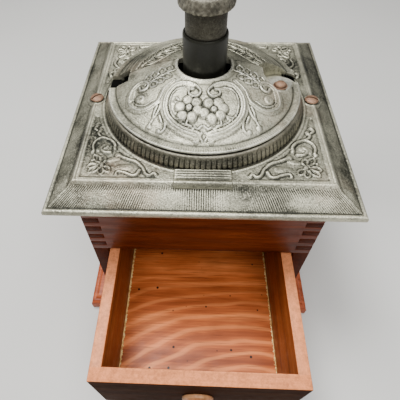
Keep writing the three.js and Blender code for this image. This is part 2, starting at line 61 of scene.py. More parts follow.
def clearSelection():
    if bpy.context.object and bpy.context.object.mode != 'OBJECT':
        bpy.ops.object.mode_set(mode='OBJECT')
    bpy.ops.object.select_all(action='DESELECT')


def pick(piece):
    clearSelection()
    piece.select_set(True)
    bpy.context.view_layer.objects.active = piece


def editAll(piece):  # edit mode with all of the piece selected
    pick(piece)
    bpy.ops.object.mode_set(mode='EDIT')
    bpy.ops.mesh.select_all(action='SELECT')


def named(name):
    piece = bpy.context.object
    piece.name = name
    piece.data.name = name
    return piece


def settle(piece):  # place and turn go into the mesh
    pick(piece)
    bpy.ops.object.transform_apply(location=True, rotation=True, scale=True)
    return piece


def addModifier(piece, kind, **settings):
    modifier = piece.modifiers.new(kind.title(), kind)
    for key, value in settings.items():
        setattr(modifier, key, value)
    pick(piece)
    bpy.ops.object.modifier_apply(modifier=modifier.name)


def mended(piece, distance=0.00002):  # doubles merged, faces outward
    editAll(piece)
    bpy.ops.mesh.remove_doubles(threshold=distance)
    bpy.ops.mesh.normals_make_consistent(inside=False)
    bpy.ops.object.mode_set(mode='OBJECT')
    return piece


def smooth(piece, angle=40):
    pick(piece)
    bpy.ops.object.shade_smooth_by_angle(angle=math.radians(angle))
    return piece


def joined(pieces, name):
    pick(pieces[0])
    for other in pieces[1:]:
        other.select_set(True)
    if len(pieces) > 1:
        bpy.ops.object.join()
    return named(name)


def copyOf(piece, name):
    twin = piece.copy()
    twin.data = piece.data.copy()
    bpy.context.collection.objects.link(twin)
    twin.name = name
    twin.data.name = name
    return twin


def box(name, low, high):
    clearSelection()
    middle = [(a + b) / 2 for a, b in zip(low, high)]
    bpy.ops.mesh.primitive_cube_add(size=1, location=middle)
    piece = named(name)
    piece.scale = [b - a for a, b in zip(low, high)]
    return settle(piece)


def rod(name, radius, low, high, at=(0, 0), sides=64):
    clearSelection()
    bpy.ops.mesh.primitive_cylinder_add(vertices=sides, radius=radius, depth=high - low,
                                        location=(at[0], at[1], (low + high) / 2))
    return settle(named(name))


def cutBy(piece, tool, how='DIFFERENCE'):
    addModifier(piece, 'BOOLEAN', operation=how, object=tool, solver='EXACT')
    bpy.data.objects.remove(tool)
    return piece


def spun(name, profile, steps, at=(0, 0)):
    # a profile of (radius, height) points in mm, added as a circle of points and spun about Z
    clearSelection()
    bpy.ops.mesh.primitive_circle_add(vertices=len(profile), radius=0.01)
    piece = named(name)
    for vertex, (radius, height) in zip(piece.data.vertices, profile):
        vertex.co = (radius * mm, 0, height * mm)
    bpy.ops.object.mode_set(mode='EDIT')
    bpy.ops.mesh.select_all(action='SELECT')
    bpy.ops.mesh.spin(steps=steps, angle=2 * math.pi, axis=(0, 0, 1), center=(0, 0, 0))
    bpy.ops.mesh.select_all(action='SELECT')
    bpy.ops.mesh.remove_doubles(threshold=0.000005)
    bpy.ops.mesh.normals_make_consistent(inside=False)
    bpy.ops.object.mode_set(mode='OBJECT')
    piece.location = (at[0], at[1], 0)
    return settle(piece)


def points(piece):
    flat = np.empty(len(piece.data.vertices) * 3)
    piece.data.vertices.foreach_get('co', flat)
    return flat.reshape(-1, 3)


def movePoints(piece, places):
    piece.data.vertices.foreach_set('co', places.ravel())
    piece.data.update()


def beveled(piece, width, segments=2, angle=30):
    addModifier(piece, 'BEVEL', width=width, segments=segments, limit_method='ANGLE',
                angle_limit=math.radians(angle))
    return piece


def bodyOf(node):
    for body, nodes in frame["record"]["behaviour"]["bodies"].items():
        if node in nodes:
            return body


def dressed(piece, node, material, standsFor=True):
    # finish, material slot and body of a piece made after a CAD node
    piece.data.materials.clear()
    piece.data.materials.append(material)
    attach(piece, bodyOf(node))
    if standsFor:
        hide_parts(node)
    return piece


def eased(node, material, width=0.25, segments=2, angle=28):
    # a copy of the CAD solid with its edges eased
    twin = copyOf(frame["nodes"][node], node + '_eased')
    editAll(twin)
    bpy.ops.mesh.remove_doubles(threshold=0.000003)
    bpy.ops.mesh.dissolve_limited(angle_limit=math.radians(0.6))
    bpy.ops.object.mode_set(mode='OBJECT')
    if width:
        beveled(twin, width * mm, segments, angle)
    smooth(twin, 35)
    return dressed(twin, node, material)


class Finish:  # a node material and short ways to add its nodes
    def __init__(self, name, **sockets):
        self.material = bpy.data.materials.new(name)
        self.material.use_nodes = True
        self.nodes = self.material.node_tree.nodes
        self.shader = self.nodes['Principled BSDF']
        for socket, value in sockets.items():
            self.shader.inputs[socket.replace('_', ' ')].default_value = value
        texture = self.nodes.new('ShaderNodeTexCoord')
        self.place = texture.outputs['Object']
        self.normal = texture.outputs['Normal']

    def put(self, socket, value):
        if isinstance(value, bpy.types.NodeSocket):
            self.material.node_tree.links.new(value, socket)
        elif isinstance(value, tuple) and len(socket.default_value) == 4:
            socket.default_value = (*value, 1)
        else:
            socket.default_value = value

    def mapped(self, scale, turn=(0, 0, 0), shift=(0, 0, 0)):
        node = self.nodes.new('ShaderNodeMapping')
        for socket, value in (('Scale', scale), ('Rotation', turn), ('Location', shift)):
            node.inputs[socket].default_value = value
        self.put(node.inputs['Vector'], self.place)
        return node.outputs['Vector']

    def noise(self, scale, detail=4, rough=0.55, vector=None, distort=0):
        node = self.nodes.new('ShaderNodeTexNoise')
        for socket, value in (('Scale', scale), ('Detail', detail), ('Roughness', rough), ('Distortion',
                                                                                           distort)):
            node.inputs[socket].default_value = value
        self.put(node.inputs['Vector'], vector or self.place)
        return node.outputs['Fac']

    def cells(self, scale, vector=None):
        node = self.nodes.new('ShaderNodeTexVoronoi')
        node.inputs['Scale'].default_value = scale
        self.put(node.inputs['Vector'], vector or self.place)
        return node.outputs['Distance']

    def ramp(self, source, *stops):
        node = self.nodes.new('ShaderNodeValToRGB')
        while len(node.color_ramp.elements) < len(stops):
            node.color_ramp.elements.new(0.5)
        for element, (position, color) in zip(node.color_ramp.elements, stops):
            element.position = position
            element.color = (*color, 1)
        self.put(node.inputs['Fac'], source)
        return node.outputs['Color']

    def blend(self, amount, a, b):
        node = self.nodes.new('ShaderNodeMix')
        node.data_type = 'RGBA'
        for socket, value in ((node.inputs[0], amount), (node.inputs[6], a), (node.inputs[7], b)):
            self.put(socket, value)
        return node.outputs[2]

    def times(self, a, b):
        node = self.nodes.new('ShaderNodeMath')
        node.operation = 'MULTIPLY'
        self.put(node.inputs[0], a)
        self.put(node.inputs[1], b)
        return node.outputs[0]

    def span(self, source, low, high, start=0.0, end=1.0):
        node = self.nodes.new('ShaderNodeMapRange')
        for socket, value in zip(('From Min', 'From Max', 'To Min', 'To Max'), (low, high, start, end)):
            node.inputs[socket].default_value = value
        self.put(node.inputs['Value'], source)
        return node.outputs['Result']

    def part(self, vector, axis):
        node = self.nodes.new('ShaderNodeSeparateXYZ')
        self.put(node.inputs[0], vector)
        return node.outputs[axis]

    def corner(self, low, high, start=0.0, end=1.0):  # hollows are low, edges high
        pointed = self.nodes.new('ShaderNodeNewGeometry').outputs['Pointiness']
        return self.span(pointed, low, high, start, end)

    def open(self, reach, low, high, start=0.0, end=1.0):  # low where other faces stand close
        node = self.nodes.new('ShaderNodeAmbientOcclusion')
        node.samples = 8
        node.inputs['Distance'].default_value = reach
        return self.span(node.outputs['AO'], low, high, start, end)

    def bump(self, height, strength, distance, before=None):
        node = self.nodes.new('ShaderNodeBump')
        node.inputs['Strength'].default_value = strength
        node.inputs['Distance'].default_value = distance
        self.put(node.inputs['Height'], height)
        if before:
            self.put(node.inputs['Normal'], before)
        return node.outputs['Normal']

    def done(self, **sources):
        for socket, source in sources.items():
            self.put(self.shader.inputs[socket.replace('_', ' ')], source)
        return self.material


def secondFinish(piece, low, high, finish, radius=1):
    # the faces inside a box, and inside a radius, get another finish
    piece.data.materials.append(finish)
    centers = np.empty(len(piece.data.polygons) * 3)
    piece.data.polygons.foreach_get('center', centers)
    centers = centers.reshape(-1, 3)
    inside = np.all((centers > low) & (centers < high), axis=1) & (np.hypot(centers[:, 0],
                                                                            centers[:, 1]) < radius)
    index = np.zeros(len(centers), np.int32)
    piece.data.polygons.foreach_get('material_index', index)
    index[inside] = len(piece.data.materials) - 1
    piece.data.polygons.foreach_set('material_index', index)
    return piece


def toned(color, amount):
    return tuple(amount * c for c in color)


def agedIron(name, dark, middle, light, rust, metallic=0.7, gloss=(0.36, 0.56), grit=0.00022, grimeAndHollowShade=0.95,
             edgeWearAndHighlight=0.35, pebble=1500):
    iron = Finish(name, Metallic=metallic)
    base = iron.ramp(iron.noise(34, 6, 0.62), (0.34, dark), (0.52, middle), (0.74, light))
    base = iron.blend(iron.span(iron.noise(pebble * 0.55, 3, 0.6), 0.50, 0.66, 0, 0.45), base, light)
    base = iron.blend(iron.span(iron.noise(pebble * 0.8, 2, 0.5), 0.47, 0.34, 0, 0.6), base, dark)
    patches = iron.noise(21, 5, 0.66, iron.mapped((1, 1, 1), (0.4, 0.2, 0.9)))
    base = iron.blend(iron.span(patches, 0.54, 0.72, 0, 0.55), base, rust)
    # painted shade, with some grime: concave corners and hollows near other faces are darkened
    base = iron.blend(iron.corner(0.472, 0.4990, grimeAndHollowShade, 0), base, dark)
    base = iron.blend(iron.open(0.0016, 0.52, 0.97, grimeAndHollowShade, 0), base, toned(dark, 0.5))
    # edges lightened: wear, and a painted highlight on ridges and rims
    worn = iron.times(iron.corner(0.503, 0.54, 0, edgeWearAndHighlight), iron.span(iron.noise(170, 3), 0.35, 0.6, 0.35, 1))
    base = iron.blend(worn, base, tuple(min(1, 1.5 * c) for c in light))
    rough = iron.span(iron.noise(120, 4), 0.3, 0.7, *gloss)
    coarse = iron.bump(iron.noise(330, 3), 0.3, grit * 1.6)
    return iron.done(Base_Color=base, Roughness=rough,
                     Normal=iron.bump(iron.noise(pebble * 0.8, 2, 0.5), 0.8, grit * 1.5, coarse))


def wood(name, dark, middle, light, grain, gloss=(0.3, 0.5), ring=9, coat=0.2, rim=None, specks=0, figure=0,
         endGrain=0.6, edgeWearAndHighlight=0.5, stain=0.45, fine=0.5, sheen=0.16):
    # grain runs along one axis; rim = (height, color) is the top edge, painted pale as worn and as lit from
    # above
    board = Finish(name, Coat_Weight=coat, Coat_Roughness=0.3, Specular_IOR_Level=sheen)
    along = [0.09 if axis == grain else 1 for axis in 'XYZ']
    thin = [0.03 if axis == grain else 1 for axis in 'XYZ']
    bands = board.noise(ring * 14, 5, 0.6, board.mapped(along), 0.8)
    streaks = board.noise(640, 4, 0.7, board.mapped(thin))
    pores = board.noise(1500, 2, 0.6, board.mapped(thin, (0, 0, 0.01)))
    base = board.ramp(bands, (0.26, dark), (0.50, middle), (0.80, light))
    base = board.blend(board.span(streaks, 0.40, 0.66, 0, fine), base, dark)
    if figure:
        waves = board.nodes.new('ShaderNodeTexWave')
        waves.wave_type, waves.rings_direction = 'RINGS', 'Z'
        for socket, value in (('Scale', 36), ('Distortion', 5.0), ('Detail', 2), ('Detail Scale', 0.8)):
            waves.inputs[socket].default_value = value
        board.put(waves.inputs['Vector'], board.mapped((0.55, 1, 0), (0, 0, 0.26), (-0.060, 0.148, 0)))
        near = board.span(board.part(board.place, 'Y'), -0.050, -0.120, 0.10, 1)
        grooves = board.times(board.span(waves.outputs['Fac'], 0.50, 0.12), near)
        base = board.blend(board.times(grooves, 0.5), base, dark)
        crests = board.times(board.span(waves.outputs['Fac'], 0.70, 0.97), near)
        base = board.blend(board.times(crests, figure), base, light)
    base = board.blend(board.span(pores, 0.60, 0.72, 0, 0.6), base, toned(dark, 0.3))
    base = board.blend(board.span(board.noise(27, 3), 0.5, 0.75, 0, stain), base,
                       toned(dark, 0.6))
    across = board.part(board.normal, grain)
    flat = board.times(across, across)
    base = board.blend(board.span(flat, 0.5, 0.9, 0, endGrain), base, toned(dark, 0.35))
    if specks:
        dots = board.span(board.cells(115), 0.085, 0.120, specks, 0)
        base = board.blend(dots, base, (0.010, 0.004, 0.002))
    if edgeWearAndHighlight:
        # edges lightened: wear, and a painted highlight
        wornAndLitEdges = board.times(board.corner(0.51, 0.60), board.span(board.noise(210, 3), 0.35, 0.6, 0.2, edgeWearAndHighlight))
        base = board.blend(wornAndLitEdges, base, tuple(min(1, 1.9 * c + 0.02) for c in light))
    if rim:
        level, color = rim
        # painted light and wear: up-facing faces near the top edge are made pale
        top = board.times(board.span(board.part(board.place, 'Z'), level - 0.0009, level - 0.0003),
                          board.span(board.part(board.normal, 'Z'), 0.35, 0.85))
        pale = board.blend(board.span(board.noise(480, 4, 0.7), 0.38, 0.68), color,
                           toned(color, 0.6))
        pale = board.blend(board.span(streaks, 0.45, 0.7, 0, 0.35), pale, toned(color, 0.45))
        base = board.blend(top, base, pale)
    rough = board.span(board.noise(180, 4), 0.3, 0.7, *gloss)
    normal = board.bump(streaks, 0.3, 0.00012, board.bump(bands, 0.15, 0.0003))
    return board.done(Base_Color=base, Roughness=rough, Normal=normal)


topIron = agedIron('top_iron_grey', (0.016, 0.017, 0.012), (0.30, 0.295, 0.225), (0.62, 0.60, 0.47),
                   (0.31, 0.235, 0.165))
# painted light: the lid iron is a paler copy of the plate iron, so the lid glows
litLidIron = agedIron('lid_iron_painted_light', (0.020, 0.021, 0.015), (0.44, 0.43, 0.33), (0.80, 0.78, 0.62),
                   (0.50, 0.40, 0.29))
# painted shade: the ring iron is a darker copy of the plate iron
shadedRingIron = agedIron('ring_iron_painted_shade', (0.010, 0.010, 0.007), (0.145, 0.14, 0.105), (0.46, 0.425, 0.33),
                    (0.36, 0.235, 0.16))
postIron = agedIron('post_black', (0.003, 0.003, 0.002), (0.007, 0.007, 0.005), (0.016, 0.016, 0.011),
                    (0.013, 0.010, 0.007), 0.2, (0.3, 0.42), 0.00005, 0.5, 0.9)
hubIron = agedIron('hub_brown_iron', (0.030, 0.026, 0.018), (0.085, 0.078, 0.058), (0.15, 0.14, 0.11),
                   (0.13, 0.075, 0.050), 0.5, (0.45, 0.65), 0.0003)
crankIron = agedIron('crank_rusty_iron', (0.035, 0.031, 0.022), (0.19, 0.175, 0.135), (0.42, 0.40, 0.32),
                     (0.28, 0.20, 0.14), 0.35, (0.45, 0.7), 0.0006, pebble=700)
innerIron = agedIron('inner_iron', (0.012, 0.011, 0.010), (0.03, 0.028, 0.024), (0.07, 0.06, 0.05),
                     (0.07, 0.04, 0.022), 0.4, (0.45, 0.7))
steelFinish = agedIron('dull_steel', (0.10, 0.095, 0.085), (0.28, 0.27, 0.25), (0.42, 0.41, 0.39),
                       (0.18, 0.10, 0.06), 0.8, (0.3, 0.5), 0.00006)
# painted shadow: a near-black finish for the inside of the finger slot
slotShadowFinish = agedIron('slot_painted_shadow', (0.001, 0.001, 0.001), (0.002, 0.002, 0.0015), (0.004, 0.004, 0.003),
                      (0.004, 0.003, 0.002), 0.2, (0.8, 0.95), 0.0001)
screwFinish = agedIron('rusty_screw', (0.03, 0.015, 0.008), (0.17, 0.085, 0.048), (0.38, 0.24, 0.16),
                       (0.34, 0.16, 0.09), 0.4, (0.45, 0.7), 0.0001)

caseTones = ((0.055, 0.008, 0.0012), (0.165, 0.027, 0.0035), (0.27, 0.056, 0.008))
caseAcross = wood('case_wood_across', *caseTones, 'X', (0.35, 0.5), coat=0.1, edgeWearAndHighlight=0, stain=0.3)
caseDeep = wood('case_wood_deep', *caseTones, 'Y', (0.45, 0.6), coat=0, edgeWearAndHighlight=0, sheen=0.08)
baseTones = ((0.15, 0.026, 0.008), (0.42, 0.088, 0.028), (0.60, 0.160, 0.060))
baseWood = wood('base_wood', *baseTones, 'X', (0.4, 0.6), endGrain=0.3, edgeWearAndHighlight=0)
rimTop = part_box('drawer_front')[1][2]
litWornRimPink = (0.80, 0.285, 0.118)
# painted shade: the drawer front wood is much darker than the sides, as the front faces away from the light
shadedFrontWood = wood('drawer_front_wood_shaded', (0.018, 0.005, 0.0015), (0.040, 0.0125, 0.0035), (0.065, 0.022, 0.007),
                 'X', (0.7, 0.85), coat=0, rim=(rimTop, litWornRimPink), sheen=0.05, edgeWearAndHighlight=0)
sideWood = wood('drawer_side_wood', (0.115, 0.025, 0.005), (0.34, 0.086, 0.018), (0.48, 0.145, 0.034), 'Y',
                (0.4, 0.6), ring=6, coat=0.1, rim=(rimTop, litWornRimPink), endGrain=0.2, stain=0.3, edgeWearAndHighlight=0)
floorWood = wood('drawer_floor_wood', (0.21, 0.040, 0.009), (0.62, 0.150, 0.036), (0.95, 0.320, 0.100), 'X',
                 (0.35, 0.5), ring=5, specks=1.0, figure=0.55, coat=0.1, stain=0.25, fine=0.6, edgeWearAndHighlight=0)
knobWood = wood('knob_wood', (0.14, 0.04, 0.012), (0.42, 0.15, 0.055), (0.72, 0.34, 0.17), 'Y', (0.3, 0.45),
                endGrain=0.1)
handleWood = wood('handle_wood', (0.020, 0.010, 0.006), (0.06, 0.025, 0.012), (0.11, 0.05, 0.022), 'Z',
                  (0.25, 0.4), coat=0.5, endGrain=0.1)
print('finishes ready')


def smoothPath(corners, steps=9):
    # a rounded path through the given places
    given = np.array(corners, float)
    given = np.vstack([2 * given[0] - given[1], given, 2 * given[-1] - given[-2]])
    t = np.linspace(0, 1, steps, endpoint=False)[:, None]
    runs = [0.5 * (2 * b + (c - a) * t + (2 * a - 5 * b + 4 * c - d) * t ** 2
                   + (3 * b - a - 3 * c + d) * t ** 3)
            for a, b, c, d in zip(given, given[1:], given[2:], given[3:])]
    return np.vstack(runs + [given[-2:-1]])


def ridge(x, y, height, corners, width, rise, taper=0.3, crown=0.7):
    # a raised line of half this width, thinner towards its end
    path = smoothPath(corners)
    low, high = path.min(axis=0) - width, path.max(axis=0) + width
    near = (x > low[0]) & (x < high[0]) & (y > low[1]) & (y < high[1])
    px, py = x[near], y[near]
    nearest = np.full(px.shape, 1e9)
    along = np.zeros(px.shape)
    for i, (a, b) in enumerate(zip(path, path[1:])):
        run = b - a
        t = np.clip(((px - a[0]) * run[0] + (py - a[1]) * run[1]) / max(run @ run, 1e-9), 0, 1)
        away = np.hypot(px - a[0] - t * run[0], py - a[1] - t * run[1])
        closer = away < nearest
        nearest[closer] = away[closer]
        along[closer] = (i + t[closer]) / (len(path) - 1)
    reach = width * (1 - taper * along)
    line = rise * np.clip(1 - (nearest / reach) ** 2, 0, 1) ** crown
    height[near] = np.maximum(height[near], line)


def button(x, y, height, center, radius, rise, dip=0.0):
    away = np.hypot(x - center[0], y - center[1]) / radius
    top = rise * np.clip(1 - away ** 4, 0, 1) - dip * np.exp(-(away / 0.45) ** 2)
    inside = away < 1
    height[inside] = np.maximum(height[inside], top[inside])


def leaflet(x, y, height, foot, tip, width, rim=0.35, hollow=0.3):
    # an almond with a raised edge and a hollow middle
    foot, tip = np.array(foot, float), np.array(tip, float)
    length = np.hypot(*(tip - foot))
    run = (tip - foot) / length
    along = ((x - foot[0]) * run[0] + (y - foot[1]) * run[1]) / length * 2 - 1
    across = np.abs(-(x - foot[0]) * run[1] + (y - foot[1]) * run[0])
    half = width / 2 * np.clip(1 - along ** 2, 0, 1)
    inside = (np.abs(along) < 1) & (across < half)
    height[inside] -= hollow * (1 - (across[inside] / half[inside]) ** 2)
    edge = (np.abs(along) < 1.04) & (across < half + 0.8)
    line = rim * np.exp(-((across - half) / 0.42) ** 2)
    height[edge] = np.maximum(height[edge], line[edge])


fieldTop, ringTop, lidTop = 136.8, 145.0, 147.5
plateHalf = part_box('top_plate')[1][0] / mm
fieldHalf = plateHalf - 15.3
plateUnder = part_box('top_plate')[0][2] / mm
postRadius = 12.4
domeSphere = 99.05  # radius of the dome's curve
pivot = ((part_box('lid_rivet')[0][0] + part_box('lid_rivet')[1][0]) / 2 / mm,
         (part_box('lid_rivet')[0][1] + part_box('lid_rivet')[1][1]) / 2 / mm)
pivotAt = (pivot[0] * mm, pivot[1] * mm)
seamY = 4.6  # the line across the dome where lid and rear half meet
swingRecess, recessWall = 14.8, 16.4
screwAcross = 66.5  # plate screws, from the middle


def cutAtSeam(piece, keepFront):
    # everything on one side of the seam goes, 0.3 mm from its middle line
    if keepFront:
        return cutBy(piece, box('seam_tool', (-0.2, (seamY - 0.3) * mm, 0.1), (0.2, 0.2, 0.2)))
    return cutBy(piece, box('seam_tool', (-0.2, -0.2, 0.1), (0.2, (seamY + 0.3) * mm, 0.2)))


def domeAt(r):
    return lidTop + np.sqrt(domeSphere ** 2 - np.square(r)) - (domeSphere - 15.5)


borderShape = dict(alongSteps=640, ribPitch=1.2, ribDepth=0.16,
                   # half width and height, from the inner bead over the slope and the lip to the underside
                   profile=[(66.1, 136.7), (66.4, 137.15), (67.0, 137.42), (67.5, 137.3), (68.1, 136.7),
                            (69.0, 135.7), (70.0, 134.75), (71.6, 134.0), (74.0, 132.75), (76.5, 131.2),
                            (79.2, 129.6), (79.7, 129.1), (80.2, 129.15), (80.8, 129.42), (81.5, 129.35),
                            (82.1, 128.95), (82.45, 128.2), (82.48, 126.6), (82.1, 125.8), (81.4, 125.6),
                            (70.5, 131.5), (66.1, 131.5), (66.1, 136.7)])


def makeBorder(shape):
    rows, steps = shape['profile'], shape['alongSteps']
    clearSelection()
    bpy.ops.mesh.primitive_grid_add(x_subdivisions=steps, y_subdivisions=len(rows) - 1, size=1)
    side = named('top_border')
    places = points(side)
    row = np.rint((places[:, 1] + 0.5) * (len(rows) - 1)).astype(int)
    half = np.array(rows)[row, 0]
    rise = np.array(rows)[row, 1]
    x = places[:, 0] * 2 * half
    slope = ((half > 69) & (half < 79.3) & (rise > 129)).astype(float)
    slope *= np.clip((half - np.abs(x)) / 1.5, 0, 1)
    rise = rise + slope * shape['ribDepth'] * np.cos(2 * math.pi * x / shape['ribPitch'])
    movePoints(side, np.stack([x, -half, rise], axis=1) * mm)
    sides = [side]
    for quarter in (1, 2, 3):
        other = copyOf(side, 'top_border_side')
        other.rotation_euler[2] = quarter * math.pi / 2
        sides.append(settle(other))
    return smooth(mended(joined(sides, 'top_border')), 50)


dressed(makeBorder(borderShape), 'top_plate', topIron)
print('border of the top')


cornerRelief = dict(
    flower=(-54.2, -55.9),
    petals=[(-60.6, -53), (-62, -57.2), (-60.4, -61.6), (-53.9, -62.4), (-49.4, -60.6), (-54.4, -49.2),
            (-59.6, -48.4)],
    petalWidth=3.4,
    leaves=[((-59.5, -45), (-52.5, -40.5), 5.2), ((-52.2, -53), (-44.5, -50.5), 3.6),
            ((-47, -58), (-36.8, -57.2), 4.6)],
    scrolls=[
        [(-48.7, -44.1), (-49.7, -39.7), (-53.4, -36.4), (-57.1, -35.1), (-60.5, -37.8), (-61.3, -41.7),
         (-60.2, -45.6)],
        [(-59.3, -29.5), (-60.1, -31.4), (-58.8, -33.6), (-56.8, -34.8)],
        [(-46.3, -48.6), (-42, -50.9), (-36.5, -53.3), (-32.3, -57.3), (-30, -61.7), (-27.8, -62.8),
         (-25.4, -61.4), (-24.6, -62.6)],
        [(-33.5, -59.4), (-34.7, -62.3), (-37.2, -62.9), (-40.6, -61.4), (-44.7, -60.5), (-45.6, -62.4)],
        [(-51, -46.5), (-54.5, -46.2), (-56.6, -43.5), (-55, -41.2)],
        [(-61.8, -25), (-62.6, -27.6), (-60.9, -29.4)],
    ],
    buds=[(-46.3, -48.6, 1.9), (-59.1, -28.6, 1.2), (-24.9, -62.2, 1.1), (-54.2, -55.9, 1.5), (-60.7, -46.3,
                                                                                               1.3)],
    lineWidth=1.15, rise=1.0, ground=0.4)

fieldShape = dict(cells=276, holeRadius=58.6, beadRadius=61.6, bead=0.45)


def makeField(shape, relief):
    clearSelection()
    bpy.ops.mesh.primitive_grid_add(x_subdivisions=shape['cells'], y_subdivisions=shape['cells'],
                                    size=2 * fieldHalf * mm - 0.0021)
    field = named('top_field')
    reach = np.hypot(*(points(field)[:, :2].T)) / mm
    pick(field)
    for parts in (field.data.vertices, field.data.edges, field.data.polygons):
        parts.foreach_set('select', np.zeros(len(parts), bool))
    field.data.vertices.foreach_set('select', reach < shape['holeRadius'])
    bpy.ops.object.mode_set(mode='EDIT')
    bpy.ops.mesh.delete(type='VERT')
    bpy.ops.object.mode_set(mode='OBJECT')
    places = points(field)
    places[:, 2] = fieldTop * mm
    movePoints(field, places)
    addModifier(field, 'SOLIDIFY', thickness=(fieldTop - plateUnder) * mm, offset=-1)
    places = points(field)
    top = places[:, 2] > (fieldTop - 1) * mm
    x, y = places[top, 0] / mm, places[top, 1] / mm
    r = np.hypot(x, y)
    ax, ay = -np.abs(x), -np.abs(y)
    height = np.zeros(x.shape)
    leafHeight = np.zeros(x.shape)
    for foot, tip, width in relief['leaves']:
        foot, tip = np.array(foot), np.array(tip)
        middle, length = (foot + tip) / 2, np.hypot(*(tip - foot))
        run = (tip - foot) / length
        along = ((ax - middle[0]) * run[0] + (ay - middle[1]) * run[1]) / (length / 2)
        across = (-(ax - middle[0]) * run[1] + (ay - middle[1]) * run[0]) / (width / 2)
        leafHeight = np.maximum(leafHeight, 0.55 * np.clip(1 - along ** 2 - across ** 2, 0, 1) ** 0.5)
    height = np.maximum(height, leafHeight)
    for tip in relief['petals']:
        center = np.array(relief['flower'])
        foot = center + (np.array(tip) - center) * 0.2
        leaflet(ax, ay, height, foot, tip, relief['petalWidth'], 0.75, 0.35)
    for corners in relief['scrolls']:
        ridge(ax, ay, height, corners, relief['lineWidth'], relief['rise'])
    for bx, by, size in relief['buds']:
        button(ax, ay, height, (bx, by), size, 0.85, 0.2)
    # the ornament's ground lies a little lower than the smooth band by the ring
    inPanel = np.clip((r - 63.8) / 0.7, 0, 1) * np.clip((65.0 + ax) / 0.5, 0, 1) * np.clip((65.0 + ay) / 0.5,
                                                                                           0, 1)
    inPanel *= np.clip((-ax - 21.5 - np.clip(66 + ay, 0, 9)) / 2, 0, 1) * np.clip((-ay - 15) / 2, 0, 1)
    height -= relief['ground'] * inPanel
    height += shape['bead'] * np.exp(-((r - shape['beadRadius']) / 0.55) ** 2)
    # ground slightly uneven, as cast
    height += 0.05 * np.sin(x * 0.9 + 1.3 * np.sin(y * 0.7)) * np.sin(y * 1.1 + 0.4)
    places[top, 2] += height * mm
    movePoints(field, places)
    return smooth(field, 60)


topField = makeField(fieldShape, cornerRelief)
fingerSlot = ((-0.0612, -0.0031, 0.1336), (-0.0445, 0.0088, 0.1650))
cutBy(topField, box('field_slot_tool', *fingerSlot))
dressed(smooth(topField, 60), 'top_plate', topIron)
slotLow = (-0.0614, -0.0033, 0.1300)
# painted shadow: the faces in the finger slot get the near-black finish
secondFinish(topField, slotLow, (-0.0443, 0.0090, 0.1366), slotShadowFinish)
print('field with its corner ornament')


ringShape = dict(steps=1056, reeds=132, reedDepth=0.55, inner=52.3,
                 profile=[(60.9, 136.5), (60.3, 136.95), (59.9, 137.7), (59.85, 138.6), (59.7, 139.5),
                          (59.35, 140.5), (58.9, 141.5), (58.4, 142.4), (58.0, 143.3), (57.7, 144.2),
                          (57.3, 144.75), (56.8, 145.0), (56.2, 145.0)])


def makeRing(shape):
    profile = [(shape['inner'], plateUnder + 1),
               (60.9, plateUnder + 1)] + shape['profile'] + [(shape['inner'], ringTop)]
    ring = spun('reeded_ring', profile, shape['steps'])
    places = points(ring)
    turn = np.arctan2(places[:, 1], places[:, 0])
    r = np.hypot(places[:, 0], places[:, 1])
    z = places[:, 2] / mm
    fade = np.clip((z - 136.9) / 0.8, 0, 1) * np.clip((144.2 - z) / 3.4, 0, 1)
    wave = np.abs(np.cos(shape['reeds'] / 2 * turn)) ** 0.6
    shrink = 1 - shape['reedDepth'] * mm * fade * (1 - wave) / r
    places[:, 0] *= shrink
    places[:, 1] *= shrink
    movePoints(ring, places)
    return smooth(ring, 60)


# the ring gets the darker iron as painted shade
reededRing = dressed(makeRing(ringShape), 'top_plate', shadedRingIron)
print('reeded ring')


domeLines = dict(
    spray=[(-37, 7), (-28, 16), (-17, 24), (-9, 28)],
    cellsOut=[((-35.5, 9.8), (-34.5, 15.5)), ((-32, 13), (-31, 19.5)), ((-28, 16.3), (-27, 23.5)),
              ((-23.5, 19.5), (-22, 26.8)), ((-18.5, 22.5), (-16.5, 29.8)), ((-13, 25), (-10.8, 31.8))],
    cellsIn=[((-33.5, 10), (-29, 8.2)), ((-29.2, 13.4), (-23.5, 11)), ((-24.8, 17), (-18.6, 14)),
             ((-19.8, 20.2), (-13.8, 17.3)), ((-14.6, 23), (-9, 20.8))],
    arcs=[[(-40.6, 5.3), (-38.9, 10.6), (-35.1, 16.8), (-28.2, 24.6), (-18.1, 31.6), (-8, 34.6)],
          [(-35.5, 4.6), (-26.9, 7.4), (-20.1, 13.1), (-15, 17.2)]],
    rings=[44.5, 47.6, 50.2], steps=760)


def domeTop(inner, outer, spacing=0.48):
    count = int((outer - inner) / spacing)
    return [(r, float(domeAt(r))) for r in np.linspace(outer, inner, count)]


